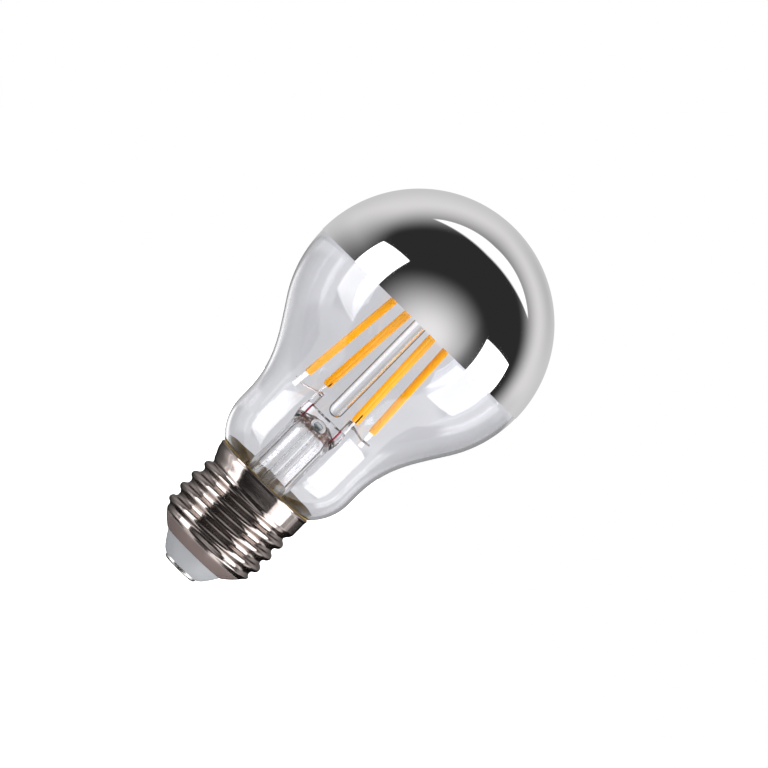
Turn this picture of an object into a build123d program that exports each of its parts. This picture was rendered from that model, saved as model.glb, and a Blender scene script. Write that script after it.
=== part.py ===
from build123d import *
import os
from math import atan2, ceil, cos, degrees, pi, radians, sin, sqrt, tan

# Clear pear-shaped lamp with a silvered crown, four filaments on a glass stem and an E27 screw cap.
# Millimetres and degrees. +Z runs along the axis from the cap to the crown, +Y away from the viewer,
# and the origin is the centre contact's outer face.

# Overall size
LAMP_LENGTH = 106.0
BULB_DIAMETER = 60.0

# Envelope and mirror
MIRROR_THICKNESS = 0.1
GLASS_WALL = 0.7
FLANK_ANGLE = 33.0          # below the widest line, where the ball turns into the flank
FLANK_PULL = 0.38           # how far the flank keeps its slope, as a share of its height
THROAT_PULL = 0.42          # how far the throat stays upright, as a share of the same height
NECK_DIAMETER = 33.8
NECK_STRAIGHT = 1.7
SHOULDER_RADIUS = 12.3
NECK_FILLET = 2.0
SEAL_DEPTH = 7.1            # rim of the cap down to the seal of stem and neck
CEMENT_WALL = 0.7           # between the glass neck and the thread's narrowest inside
CEMENT_DROP = 0.3           # cement's top below the rim
CEMENT_STEP = 0.8
RIM_GAP = 0.1               # between the glass and the rim's inner edge

# Screw cap with a knuckle thread
CAP_HEIGHT = 27.4
THREAD_CREST = 26.2
THREAD_ROOT = 24.0
THREAD_PITCH = 3.629
CREST_LEVEL = 8.4           # where a crest crosses the +X side
THREAD_LEAD = 2.0           # length over which the thread fades in and out
THREAD_FOOT = 3.2           # start of the thread above the shell's lower edge
COLLAR_DIAMETER = 25.9
COLLAR_HEIGHT = 4.6
RIM_FLARE = 0.15
RIM_ROLL = 0.9
SHELL_WALL = 0.3
FOOT_DIAMETER = 16.8
FOOT_HEIGHT = 5.0
FOOT_CURVE = 1.6            # roundness of the foot, 1 for a plain cone
SECTIONS_PER_PITCH = 12

# Insulator and centre contact
INSULATOR_HEIGHT = 5.0      # contact face up to the shell's lower edge
INSULATOR_SEAT = 1.6        # height held inside the shell
INSULATOR_TIP = 9.8
INSULATOR_WALL = 2.6
INSULATOR_FLOOR = 1.4
INSULATOR_BOWL = 6.4
CONTACT_DIAMETER = 9.0
CONTACT_HEIGHT = 0.85
CONTACT_EDGE = 0.6
STUD_DIAMETER = 2.4
STUD_HEIGHT = 2.0

# Glass stem
STEM_DIAMETER = 10.6
STEM_WALL = 0.7
STEM_HEIGHT = 26.8          # seal up to the press's top edge
TRUMPET_HEIGHT = 12.0
PRESS_WIDTH = 11.8
PRESS_THICKNESS = 3.4
PRESS_HEIGHT = 3.1
PRESS_EDGE = 0.35
SQUEEZE_HEIGHT = 3.5        # from the round tube to the flat press
CAVITY_THICKNESS = 1.3
CAVITY_ROOF = 0.9           # below the foot of the press
BLOW_HOLE_WIDTH = 3.6
BLOW_HOLE_HEIGHT = 2.4
EXHAUST_DIAMETER = 2.9
EXHAUST_BORE = 1.6
EXHAUST_PLUG = 2.2
EXHAUST_TIP = 0.8           # below the seal

# Wires
LEAD_DIAMETER = 0.45
LEAD_SPACING = 8.4
LEAD_RISE = 3.2             # above the press
LEAD_LAP = 3.0              # length soldered along the board
CROSS_DIAMETER = 0.45
CROSS_DROP = 0.4            # crossing below the lead's top
CROSS_BEND = 0.8
WELD_DIAMETER = 1.1
WELD_GAP = 0.02
WIRE_TAIL = 1.3             # either side of a tab's centre

# Filaments and their rod
FILAMENTS = 4
FIRST_ANGLE = 27.0
FILAMENT_RADIUS = 10.8      # lower end of the coat from the axis
FILAMENT_LEAN = 4.65        # inwards
FILAMENT_RISE = 4.3         # lower end of the coat above the press
CROWN_ROOM = 18.5           # from the upper tabs' tips to the crown
COAT_WIDTH = 1.55
COAT_DEPTH = 2.1
COAT_GROOVE = 0.1
COAT_CORNER = 0.6
STRIP_WIDTH = 1.0
STRIP_THICKNESS = 0.3
TAB_LENGTH = 4.2
TAB_HOLD = 1.5              # length of a tab inside the coat
FRONT_WELD = 2.5            # cross wire below the coat on the tab a cross wire meets first
BACK_WELD = 1.9             # and on its other tab
TOP_WELD = 1.3
TOP_WIRE_STEP = 1.4
ROD_DIAMETER = 3.1
ROD_GAP = 1.1               # above the press
ROD_ABOVE = 2.4             # above the upper wire

# Driver inside the cap
BOARD_WIDTH = 17.0
BOARD_THICKNESS = 1.0
BOARD_ROOM = 1.1            # below the exhaust tube's tip
CHIP_WIDTH = 4.8
CHIP_HEIGHT = 3.9
CHIP_THICKNESS = 1.6
CAPACITOR_DIAMETER = 6.0
CAPACITOR_LENGTH = 9.0
CAPACITOR_EDGE = 0.5
RESISTOR_DIAMETER = 2.2
RESISTOR_LENGTH = 4.6
RESISTOR_EDGE = 0.4
COMPONENT_SPACE = 1.2
LIVE_DIAMETER = 0.6
LIVE_LAP = 3.0
NEUTRAL_LAP = 2.0

# Levels along the axis
SEAL_LEVEL = CAP_HEIGHT - SEAL_DEPTH
PRESS_TOP = SEAL_LEVEL + STEM_HEIGHT
PRESS_FOOT = PRESS_TOP - PRESS_HEIGHT
CAVITY_TOP = PRESS_FOOT - CAVITY_ROOF
TUBE_TOP = PRESS_FOOT - SQUEEZE_HEIGHT
EXHAUST_FOOT = SEAL_LEVEL - EXHAUST_TIP
LEAD_TOP = PRESS_TOP + LEAD_RISE
COAT_FOOT = PRESS_TOP + FILAMENT_RISE
BALL_LEVEL = LAMP_LENGTH - BULB_DIAMETER / 2
COLLAR_FOOT = CAP_HEIGHT - COLLAR_HEIGHT
SEAT_TOP = INSULATOR_HEIGHT + INSULATOR_SEAT
BOARD_TOP = EXHAUST_FOOT - BOARD_ROOM
STUD_TOP = CONTACT_HEIGHT + STUD_HEIGHT
CHIP_TOP = SEAT_TOP + COMPONENT_SPACE + CHIP_HEIGHT

# Radii, lengths and offsets that neighbouring pieces share
BALL_RADIUS = BULB_DIAMETER / 2 - MIRROR_THICKNESS
THREAD_MEAN = (THREAD_CREST + THREAD_ROOT) / 4
THREAD_DEPTH = (THREAD_CREST - THREAD_ROOT) / 4
NECK_END = THREAD_ROOT / 2 - SHELL_WALL - CEMENT_WALL
FLARE_RADIUS = NECK_END - GLASS_WALL
COLLAR_BORE = COLLAR_DIAMETER / 2 - SHELL_WALL
STEM_RADIUS = STEM_DIAMETER / 2
LEAD_RADIUS = LEAD_DIAMETER / 2
LEAD_PLACE = LEAD_SPACING / 2
CROSS_RADIUS = CROSS_DIAMETER / 2
TAB_OFFSET = STRIP_THICKNESS / 2 + CROSS_RADIUS + WELD_GAP
COAT_LENGTH = (LAMP_LENGTH - CROWN_ROOM - COAT_FOOT) / cos(radians(FILAMENT_LEAN)) - TAB_LENGTH
BOARD_FACE = LEAD_RADIUS + WELD_GAP
BOARD_BACK = BOARD_FACE + BOARD_THICKNESS


def lathe(edges):
    """Solid turned round the lamp's axis from a closed outline drawn as (radius, level)."""
    return revolve(Plane.XZ * make_face(edges), Axis.Z)


def arc(centre, radius, start, end):
    """Arc about a centre from one angle to another."""
    spokes = [Vector(radius, 0).rotate(Axis.Z, angle) for angle in (start, (start + end) / 2, end)]
    return ThreePointArc(*(Vector(*centre) + spoke for spoke in spokes))


def post(place, foot, top, diameter):
    """Upright round bar at a place seen from above."""
    return Pos(*place, foot) * extrude(Circle(diameter / 2), top - foot)


def wire_along(path, radius):
    """Round wire that follows a path."""
    return sweep(Plane(origin=path @ 0, z_dir=path % 0) * Circle(radius), path=path)


def ease(low, high, value):
    """Smooth step from 0 to 1 between two levels."""
    share = min(max((value - low) / (high - low), 0.0), 1.0)
    return share * share * (3 - 2 * share)


def envelope_outline(inset):
    """Envelope's outline from the seal to the crown, set in from its outer surface."""
    hub_radius = NECK_DIAMETER / 2 - SHOULDER_RADIUS
    at_rim = COLLAR_BORE - RIM_GAP - hub_radius
    hub = (hub_radius, CAP_HEIGHT + sqrt(SHOULDER_RADIUS ** 2 - at_rim ** 2))
    reach = SHOULDER_RADIUS + NECK_FILLET
    across = NECK_END + NECK_FILLET - hub_radius
    drop = sqrt(reach ** 2 - across ** 2)
    bend = (NECK_END + NECK_FILLET, hub[1] - drop)
    turn = degrees(atan2(drop, across))
    shoulder = (NECK_DIAMETER / 2 - inset, hub[1])
    throat = (shoulder[0], shoulder[1] + NECK_STRAIGHT)
    ball = BALL_RADIUS - inset
    slope = radians(FLANK_ANGLE)
    flank = (ball * cos(slope), BALL_LEVEL - ball * sin(slope))
    height = flank[1] - throat[1]
    upright = (throat[0], throat[1] + THROAT_PULL * height)
    sloped = (flank[0] - FLANK_PULL * height * tan(slope), flank[1] - FLANK_PULL * height)
    return [
        Line((NECK_END - inset, SEAL_LEVEL), (NECK_END - inset, bend[1])),
        arc(bend, NECK_FILLET + inset, 180, 180 - turn),
        arc(hub, SHOULDER_RADIUS - inset, -turn, 0),
        Line(shoulder, throat),
        Bezier(throat, upright, sloped, flank),
        arc((0, BALL_LEVEL), ball, -FLANK_ANGLE, 90),
    ]


def glass_envelope():
    """Blown glass with an even wall, open at the seal."""
    crown = BALL_LEVEL + BALL_RADIUS
    return lathe(envelope_outline(0) + envelope_outline(GLASS_WALL) + [
        Line((0, crown), (0, crown - GLASS_WALL)),
        Line((NECK_END, SEAL_LEVEL), (FLARE_RADIUS, SEAL_LEVEL)),
    ])


def mirror_coating():
    """Silver coat on the outside of the upper half."""
    outside = BULB_DIAMETER / 2
    return lathe([
        arc((0, BALL_LEVEL), BALL_RADIUS, 0, 90),
        arc((0, BALL_LEVEL), outside, 0, 90),
        Line((BALL_RADIUS, BALL_LEVEL), (outside, BALL_LEVEL)),
        Line((0, BALL_LEVEL + BALL_RADIUS), (0, LAMP_LENGTH)),
    ])


def shell_section(level, inset=0.0):
    """Round section of the screw shell; in the threaded part its centre winds round the axis."""
    foot = max((INSULATOR_HEIGHT + FOOT_HEIGHT - level) / FOOT_HEIGHT, 0.0)
    end_of_thread = ease(COLLAR_FOOT - THREAD_LEAD, COLLAR_FOOT, level)
    thread_start = INSULATOR_HEIGHT + THREAD_FOOT
    radius = THREAD_MEAN - (THREAD_MEAN - FOOT_DIAMETER / 2) * foot ** FOOT_CURVE
    radius += (COLLAR_DIAMETER / 2 - THREAD_MEAN) * end_of_thread
    radius += RIM_FLARE * ease(CAP_HEIGHT - RIM_ROLL, CAP_HEIGHT, level)
    swing = THREAD_DEPTH * ease(thread_start, thread_start + THREAD_LEAD, level) * (1 - end_of_thread)
    turn = 2 * pi * (level - CREST_LEVEL) / THREAD_PITCH
    centre = (swing * cos(turn), swing * sin(turn))
    halves = [arc(centre, radius - inset, start, start + 180) for start in (0, 180)]
    return Pos(0, 0, level) * make_face(halves).face()


def screw_shell():
    """Thin rolled shell: lofted inner and outer skins closed by a ring at the foot and one at the rim."""
    height = CAP_HEIGHT - INSULATOR_HEIGHT
    steps = ceil(height / THREAD_PITCH * SECTIONS_PER_PITCH)
    levels = [INSULATOR_HEIGHT + height * step / steps for step in range(steps + 1)]
    skins = []
    for inset in (0.0, SHELL_WALL):
        body = loft([shell_section(level, inset) for level in levels])
        skins += body.faces().filter_by(GeomType.PLANE, reverse=True)
    rings = [Face(shell_section(level).outer_wire(), [shell_section(level, SHELL_WALL).outer_wire()])
             for level in (levels[0], levels[-1])]
    return Solid(Shell(skins + rings))


def base_insulator():
    """Moulded cone with a bowl inside, held by the shell's foot."""
    seat = shell_section(SEAT_TOP, SHELL_WALL).bounding_box().max.X - WELD_GAP
    floor = CONTACT_HEIGHT + INSULATOR_FLOOR
    return lathe(Polyline(
        (STUD_DIAMETER / 2, CONTACT_HEIGHT),
        (INSULATOR_TIP / 2, CONTACT_HEIGHT),
        (FOOT_DIAMETER / 2 - SHELL_WALL, INSULATOR_HEIGHT),
        (seat, SEAT_TOP),
        (seat - INSULATOR_WALL, SEAT_TOP),
        (INSULATOR_BOWL / 2, floor),
        (STUD_DIAMETER / 2, floor),
        close=True,
    ))


def centre_contact():
    """Disc with a rounded edge and a stud through the insulator."""
    radius = CONTACT_DIAMETER / 2
    return lathe([
        Line((0, 0), (radius - CONTACT_EDGE, 0)),
        arc((radius - CONTACT_EDGE, CONTACT_EDGE), CONTACT_EDGE, -90, 0),
        Polyline((radius, CONTACT_EDGE), (radius, CONTACT_HEIGHT), (STUD_DIAMETER / 2, CONTACT_HEIGHT),
                 (STUD_DIAMETER / 2, STUD_TOP), (0, STUD_TOP), (0, 0)),
    ])


def cement_ring():
    """Cement filling the collar round the glass neck."""
    inside = FLARE_RADIUS
    narrow = THREAD_ROOT / 2 - SHELL_WALL - WELD_GAP
    wide = COLLAR_BORE - WELD_GAP
    top = CAP_HEIGHT - CEMENT_DROP
    foot = SEAL_LEVEL + CEMENT_STEP
    filling = lathe(Polyline((inside, foot), (narrow, foot), (narrow, COLLAR_FOOT),
                             (wide, COLLAR_FOOT + CEMENT_STEP), (wide, top), (inside, top), close=True))
    crown = (0, BALL_LEVEL + BALL_RADIUS)
    blank = lathe(envelope_outline(0) + [Polyline(crown, (0, SEAL_LEVEL), (NECK_END, SEAL_LEVEL))])
    return filling - blank


def stem_glass():
    """Trumpet and tube in one glass piece, squeezed flat at the top round the leads."""
    bore = STEM_RADIUS - STEM_WALL
    centre = (FLARE_RADIUS, SEAL_LEVEL + STEM_WALL + TRUMPET_HEIGHT)
    tube = lathe([
        Line((FLARE_RADIUS, SEAL_LEVEL), (FLARE_RADIUS, SEAL_LEVEL + STEM_WALL)),
        EllipticalCenterArc(centre, FLARE_RADIUS - STEM_RADIUS, TRUMPET_HEIGHT, 180, arc_size=90),
        Polyline((STEM_RADIUS, centre[1]), (STEM_RADIUS, TUBE_TOP), (bore, TUBE_TOP), (bore, centre[1])),
        EllipticalCenterArc(centre, FLARE_RADIUS - bore, TRUMPET_HEIGHT + STEM_WALL, 180, arc_size=90),
    ])
    flat = Pos(0, 0, PRESS_FOOT) * Ellipse(PRESS_WIDTH / 2, PRESS_THICKNESS / 2)
    squeeze = loft([Pos(0, 0, TUBE_TOP) * Circle(STEM_RADIUS), flat])
    press = extrude(flat, PRESS_HEIGHT)
    press = fillet(press.edges().sort_by(Axis.Z)[-1], PRESS_EDGE)
    cavity = loft([Pos(0, 0, TUBE_TOP) * Circle(bore),
                   Pos(0, 0, CAVITY_TOP) * Ellipse(LEAD_PLACE + STEM_WALL, CAVITY_THICKNESS / 2)])
    opening = Plane.XZ * Pos(0, CAVITY_TOP + BLOW_HOLE_HEIGHT / 2) * Ellipse(BLOW_HOLE_WIDTH / 2,
                                                                           BLOW_HOLE_HEIGHT / 2)
    blow_hole = Pos(0, EXHAUST_BORE / 2) * extrude(opening, PRESS_WIDTH)
    stem = tube + squeeze + press - cavity - blow_hole
    stem -= post((0, 0), TUBE_TOP, CAVITY_TOP, EXHAUST_DIAMETER)
    for side in (-1, 1):
        stem -= post((side * LEAD_PLACE, 0), TUBE_TOP, LEAD_TOP, LEAD_DIAMETER)
    return stem


def exhaust_tube():
    """Thin tube up to the blow hole, melted shut at its tip."""
    outside, bore = EXHAUST_DIAMETER / 2, EXHAUST_BORE / 2
    plug = EXHAUST_FOOT + EXHAUST_PLUG
    return lathe([
        arc((0, EXHAUST_FOOT + outside), outside, -90, 0),
        Polyline((outside, EXHAUST_FOOT + outside), (outside, CAVITY_TOP), (bore, CAVITY_TOP),
                 (bore, plug), (0, plug), (0, EXHAUST_FOOT)),
    ])


def filament_seat(number):
    """Place of a filament: origin at the coat's foot, X outwards, Z along the strip."""
    angle = FIRST_ANGLE + 360 / FILAMENTS * number
    return Pos(0, 0, COAT_FOOT) * Rot(0, 0, angle) * Pos(FILAMENT_RADIUS, 0, 0) * Rot(0, -FILAMENT_LEAN, 0)


def on_seat(number, *place):
    """Point given in a filament's own frame."""
    return (filament_seat(number) * Pos(*place)).position


def strip_length(foot, top):
    """Length of the flat strip between two levels of a filament's own frame."""
    return Pos(0, 0, foot) * extrude(Rectangle(STRIP_WIDTH, STRIP_THICKNESS), top - foot)


def filament_coat():
    """Two phosphor beads, one on either face of the strip, with rounded ends."""
    edge, groove, depth = COAT_WIDTH / 2, STRIP_THICKNESS / 2, COAT_DEPTH / 2
    waist = edge - COAT_GROOVE
    section = make_face([
        ThreePointArc((-edge, groove), (0, depth), (edge, groove)),
        Polyline((edge, groove), (waist, groove), (waist, -groove), (edge, -groove)),
        ThreePointArc((edge, -groove), (0, -depth), (-edge, -groove)),
        Polyline((-edge, -groove), (-waist, -groove), (-waist, groove), (-edge, groove)),
    ])
    side = RectangleRounded(COAT_DEPTH, COAT_LENGTH, COAT_CORNER)
    ends = extrude(Plane.YZ * Pos(0, COAT_LENGTH / 2) * side, COAT_WIDTH, both=True)
    return (extrude(section, COAT_LENGTH) & ends) - strip_length(0, COAT_LENGTH)


def filament_tabs():
    """Flat metal tabs at both ends of a strip."""
    lower = strip_length(-TAB_LENGTH, TAB_HOLD)
    return Compound([lower, Pos(0, 0, COAT_LENGTH - TAB_HOLD + TAB_LENGTH) * lower])


def cross_wire():
    """Bent wire from one filament's tab past a lead, where it is welded, to the next filament's tab."""
    crossing = (-LEAD_PLACE - LEAD_RADIUS - CROSS_RADIUS - WELD_GAP, 0, LEAD_TOP - CROSS_DROP)
    path = FilletPolyline(
        on_seat(2, WIRE_TAIL, -TAB_OFFSET, -FRONT_WELD),
        on_seat(2, -WIRE_TAIL, -TAB_OFFSET, -FRONT_WELD),
        crossing,
        on_seat(1, -WIRE_TAIL, TAB_OFFSET, -BACK_WELD),
        on_seat(1, WIRE_TAIL, TAB_OFFSET, -BACK_WELD),
        radius=CROSS_BEND,
    )
    wire = wire_along(path, CROSS_RADIUS) + Pos(*crossing) * Sphere(WELD_DIAMETER / 2)
    return wire - post((-LEAD_PLACE, 0), PRESS_TOP, LEAD_TOP, LEAD_DIAMETER + WELD_GAP)


def top_wire(number, lift):
    """Straight wire through the rod that joins a filament's upper tab to the opposite one."""
    level = COAT_LENGTH + TOP_WELD + lift
    path = Line(on_seat(number, WIRE_TAIL, -TAB_OFFSET, level),
                on_seat(number + FILAMENTS // 2, WIRE_TAIL, TAB_OFFSET, level))
    return wire_along(path, CROSS_RADIUS)


def support_rod(wires):
    """Solid glass rod, rounded at both ends, with the upper wires sealed through it."""
    radius = ROD_DIAMETER / 2
    foot = PRESS_TOP + ROD_GAP
    top = wires[-1].bounding_box().max.Z + ROD_ABOVE
    rod = lathe([
        arc((0, foot + radius), radius, -90, 0),
        Line((radius, foot + radius), (radius, top - radius)),
        arc((0, top - radius), radius, 0, 90),
        Line((0, top), (0, foot)),
    ])
    return rod - wires


def on_board(width, thickness, height, left, foot):
    """Block on the board's front face."""
    middle = Pos(left + width / 2, BOARD_FACE - thickness / 2, foot + height / 2)
    return middle * Box(width, thickness, height)


def lying_body(diameter, length, edge, depth, level):
    """Round component lying across the board."""
    body = Pos(0, depth, level) * Rot(0, 90, 0) * Cylinder(diameter / 2, length)
    return fillet(body.edges().filter_by(GeomType.CIRCLE), edge)


def driver():
    """Board standing on the insulator, its parts and its two supply wires."""
    front = BOARD_FACE - WELD_GAP
    board = on_board(BOARD_WIDTH, BOARD_THICKNESS, BOARD_TOP - SEAT_TOP, -BOARD_WIDTH / 2, SEAT_TOP)
    chip = (CHIP_WIDTH, CHIP_THICKNESS, CHIP_HEIGHT)
    chip_foot = CHIP_TOP - CHIP_HEIGHT
    root_level = CREST_LEVEL + THREAD_PITCH
    wall = shell_section(root_level, SHELL_WALL).bounding_box().min.X + WELD_GAP
    neutral = Line((wall, front - LEAD_RADIUS, root_level),
                   (NEUTRAL_LAP - BOARD_WIDTH / 2, front - LEAD_RADIUS, root_level))
    return {
        "driver_board": Pos(0, BOARD_THICKNESS, 0) * board,
        "bridge_rectifier": on_board(*chip, COMPONENT_SPACE, chip_foot),
        "regulator_chip": on_board(*chip, -COMPONENT_SPACE - CHIP_WIDTH, chip_foot),
        "fuse_resistor": lying_body(RESISTOR_DIAMETER, RESISTOR_LENGTH, RESISTOR_EDGE,
                                    front - RESISTOR_DIAMETER / 2,
                                    CHIP_TOP + (COMPONENT_SPACE + RESISTOR_DIAMETER) / 2),
        "smoothing_capacitor": lying_body(CAPACITOR_DIAMETER, CAPACITOR_LENGTH, CAPACITOR_EDGE,
                                          BOARD_BACK + WELD_GAP + CAPACITOR_DIAMETER / 2,
                                          SEAT_TOP + COMPONENT_SPACE + CAPACITOR_DIAMETER / 2),
        "live_wire": post((0, front - LIVE_DIAMETER / 2), STUD_TOP, SEAT_TOP + LIVE_LAP, LIVE_DIAMETER),
        "neutral_wire": wire_along(neutral, LEAD_RADIUS),
    }


top_wires = [top_wire(0, 0.0), top_wire(1, TOP_WIRE_STEP)]
left_cross = cross_wire()
nodes = {
    "glass_envelope": glass_envelope(),
    "mirror_coating": mirror_coating(),
    "stem_glass": stem_glass(),
    "exhaust_tube": exhaust_tube(),
    "support_rod": support_rod(top_wires),
    "top_wire_lower": top_wires[0],
    "top_wire_upper": top_wires[1],
    "lead_wire_left": post((-LEAD_PLACE, 0), BOARD_TOP - LEAD_LAP, LEAD_TOP, LEAD_DIAMETER),
    "lead_wire_right": post((LEAD_PLACE, 0), BOARD_TOP - LEAD_LAP, LEAD_TOP, LEAD_DIAMETER),
    "cross_wire_left": left_cross,
    "cross_wire_right": Rot(0, 0, 180) * left_cross,
    "screw_shell": screw_shell(),
    "base_insulator": base_insulator(),
    "centre_contact": centre_contact(),
    "cement_ring": cement_ring(),
}
nodes.update(driver())

coat, tabs = filament_coat(), filament_tabs()
strip = strip_length(TAB_HOLD, COAT_LENGTH - TAB_HOLD)
for number in range(FILAMENTS):
    seat = filament_seat(number)
    nodes[f"filament_coat_{number + 1}"] = seat * coat
    nodes[f"filament_tabs_{number + 1}"] = seat * tabs
    nodes[f"filament_strip_{number + 1}"] = seat * strip

os.makedirs("parts", exist_ok=True)
for name, node in nodes.items():
    export_step(node, f"parts/{name}.step")
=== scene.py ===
from math import atan2, cos, degrees, exp, pi, radians, sin, sqrt, tan

import bpy
from mathutils import Matrix, Vector


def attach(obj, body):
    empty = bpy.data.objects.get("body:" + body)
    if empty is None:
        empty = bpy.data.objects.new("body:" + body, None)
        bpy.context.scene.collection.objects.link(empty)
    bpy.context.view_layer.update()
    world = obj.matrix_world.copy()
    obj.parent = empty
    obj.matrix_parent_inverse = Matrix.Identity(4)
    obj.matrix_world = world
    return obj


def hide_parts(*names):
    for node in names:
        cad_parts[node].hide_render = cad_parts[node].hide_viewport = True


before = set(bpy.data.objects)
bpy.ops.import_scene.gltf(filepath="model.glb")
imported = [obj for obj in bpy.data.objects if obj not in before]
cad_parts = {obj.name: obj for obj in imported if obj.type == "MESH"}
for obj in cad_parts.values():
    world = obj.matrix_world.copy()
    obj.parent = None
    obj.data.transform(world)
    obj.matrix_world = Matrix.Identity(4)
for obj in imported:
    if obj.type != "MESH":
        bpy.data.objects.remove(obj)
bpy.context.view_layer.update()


# Stem: a flared tube of clear glass, squeezed flat at its top while soft so that the two leads are sealed
# in. A hole blown through beside the press, with a thick melted lip, let the air out.
def put(tree, kind, inputs=(), **settings):
    """Node in a tree; an input is a number, a colour or another node's socket."""
    node = tree.nodes.new("ShaderNode" + kind)
    for name, value in settings.items():
        setattr(node, name, value)
    for key, value in dict(inputs).items():
        if isinstance(value, bpy.types.NodeSocket):
            tree.links.new(value, node.inputs[key])
        else:
            node.inputs[key].default_value = value
    return node


def mixed(tree, factor, low, high):
    """Colour between two colours or colour sockets, which are a Mix node's inputs 6 and 7."""
    colours = {6: low if isinstance(low, bpy.types.NodeSocket) else (*low, 1),
               7: high if isinstance(high, bpy.types.NodeSocket) else (*high, 1)}
    return put(tree, "Mix", {0: factor, **colours}, data_type="RGBA").outputs[2]


def ramped(tree, value, low, high):
    """Smooth step from 0 at low to 1 at high, of a socket's value."""
    return put(tree, "MapRange", {"Value": value, "From Min": low, "From Max": high},
               interpolation_type="SMOOTHSTEP").outputs[0]


def finish_named(name, values):
    """New finish whose even values stand on the shader's own sockets."""
    finish = bpy.data.materials.new(name)
    finish.use_nodes = True
    for socket, value in values.items():
        finish.node_tree.nodes["Principled BSDF"].inputs[socket].default_value = value
    return finish


def lead_to(finish, output, socket):
    """Joins a node's output to a socket of the finish's shader."""
    finish.node_tree.links.new(output, finish.node_tree.nodes["Principled BSDF"].inputs[socket])


def clear_glass(name, tint, rim, start, full, clarity=1.0):
    """Clear glass, with its colour, and painted shade: it darkens to a rim colour where it is seen edge-on.
    """
    finish = finish_named(name, {"Transmission Weight": clarity, "IOR": 1.5, "Roughness": 0.0})
    edge_on = put(finish.node_tree, "LayerWeight", {"Blend": 0.5}).outputs["Facing"]
    return finish, mixed(finish.node_tree, ramped(finish.node_tree, edge_on, start, full), tint, rim)


def grain_of(finish, size, stretch=(1, 1, 1), detail=3.0):
    """Noise that runs over a piece, its grains a size in mm and drawn out along the axes."""
    tree = finish.node_tree
    place = put(tree, "TexCoord").outputs["Object"]
    scaled = put(tree, "Mapping", {"Vector": place, "Scale": [1 / s for s in stretch]}).outputs["Vector"]
    return put(tree, "TexNoise", {"Vector": scaled, "Scale": 1000 / size, "Detail": detail}).outputs["Fac"]


def mottle(finish, socket, low, high, grain):
    """Lets a finish wander between two values or two colours along a grain."""
    tree = finish.node_tree
    if isinstance(low, tuple):
        lead_to(finish, mixed(tree, grain, low, high), socket)
    else:
        spread = put(tree, "MapRange", {"Value": grain, "From Min": 0.3, "From Max": 0.7,
                                        "To Min": low, "To Max": high})
        lead_to(finish, spread.outputs["Result"], socket)


def roughen(finish, depth, grain):
    """Fine relief of a depth in mm along a grain."""
    bump = put(finish.node_tree, "Bump", {"Height": grain, "Distance": depth / 1000, "Strength": 1.0})
    lead_to(finish, bump.outputs["Normal"], "Normal")


def place_on(finish):
    """Place on a piece, in metres, as the sockets X, Y and Z."""
    tree = finish.node_tree
    return put(tree, "SeparateXYZ", {"Vector": put(tree, "TexCoord").outputs["Object"]}).outputs


def ease(low, high, value):
    """Smooth step from 0 to 1."""
    share = min(max((value - low) / (high - low), 0.0), 1.0)
    return share * share * (3 - 2 * share)


def stacked(rings, close=True):
    """Points and faces of a skin through rings of equal count; a ring of one point closes an end."""
    points, rows, faces = [], [], []
    around = max(len(ring) for ring in rings)
    for ring in rings:
        rows.append([len(points) + k % len(ring) for k in range(around)])
        points += [(x / 1000, y / 1000, z / 1000) for x, y, z in ring]
    for low, high in zip(rows, rows[1:] + rows[:1] if close else rows[1:]):
        for k in range(around):
            corners = list(dict.fromkeys([low[k - 1], low[k], high[k], high[k - 1]]))
            if len(corners) > 2:
                faces.append(corners)
    return points, faces


def piece(name, skin, finish, slot, *replaced, crease=35):
    """Smooth-shaded piece on the lamp that stands for the named nodes."""
    mesh = bpy.data.meshes.new(name)
    mesh.from_pydata(skin[0], [], skin[1])
    mesh.shade_smooth()
    mesh.set_sharp_from_angle(angle=radians(crease))
    mesh.materials.append(finish)
    made = bpy.data.objects.new(name, mesh)
    bpy.context.scene.collection.objects.link(made)
    if replaced:
        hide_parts(*replaced)
    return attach(made, "root")


def loose(name, skin):
    """Helper body that is cut out of a piece and then thrown away."""
    mesh = bpy.data.meshes.new(name)
    mesh.from_pydata(skin[0], [], skin[1])
    made = bpy.data.objects.new(name, mesh)
    bpy.context.scene.collection.objects.link(made)
    return made


def cut(made, body, crease=35):
    """Cuts a helper body out of a piece."""
    step = made.modifiers.new(body.name, "BOOLEAN")
    step.operation, step.object, step.solver = "DIFFERENCE", body, "EXACT"
    shape = bpy.data.meshes.new_from_object(made.evaluated_get(bpy.context.evaluated_depsgraph_get()))
    made.modifiers.clear()
    made.data = shape
    shape.shade_smooth()
    shape.set_sharp_from_angle(angle=radians(crease))
    bpy.data.objects.remove(body)


seal_level, flare_radius, trumpet_height = 20.3, 10.3, 12.0
stem_radius, stem_wall, tube_top = 5.3, 0.7, 40.7
press_foot, press_top, press_half, press_depth, press_round = 44.4, 47.1, 5.9, 1.7, 0.5
vault_top = 45.4
stem_around = 128


def oval(half, depth, level, fullness=2.0):
    """Ring of points round an oval; more fullness makes its faces flatter."""
    ring = []
    for k in range(stem_around):
        c, s = cos(2 * pi * k / stem_around), sin(2 * pi * k / stem_around)
        size = (abs(c) ** fullness + abs(s) ** fullness) ** (-1 / fullness)
        ring.append((half * size * c, depth * size * s, level))
    return ring


def stem_outside(level):
    """Half width, half depth and fullness of the stem's outside."""
    squeeze = ease(tube_top, press_foot, level)
    return (stem_radius + (press_half - stem_radius) * squeeze,
            stem_radius + (press_depth - stem_radius) * squeeze, 2.0 + 0.2 * squeeze)


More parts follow.
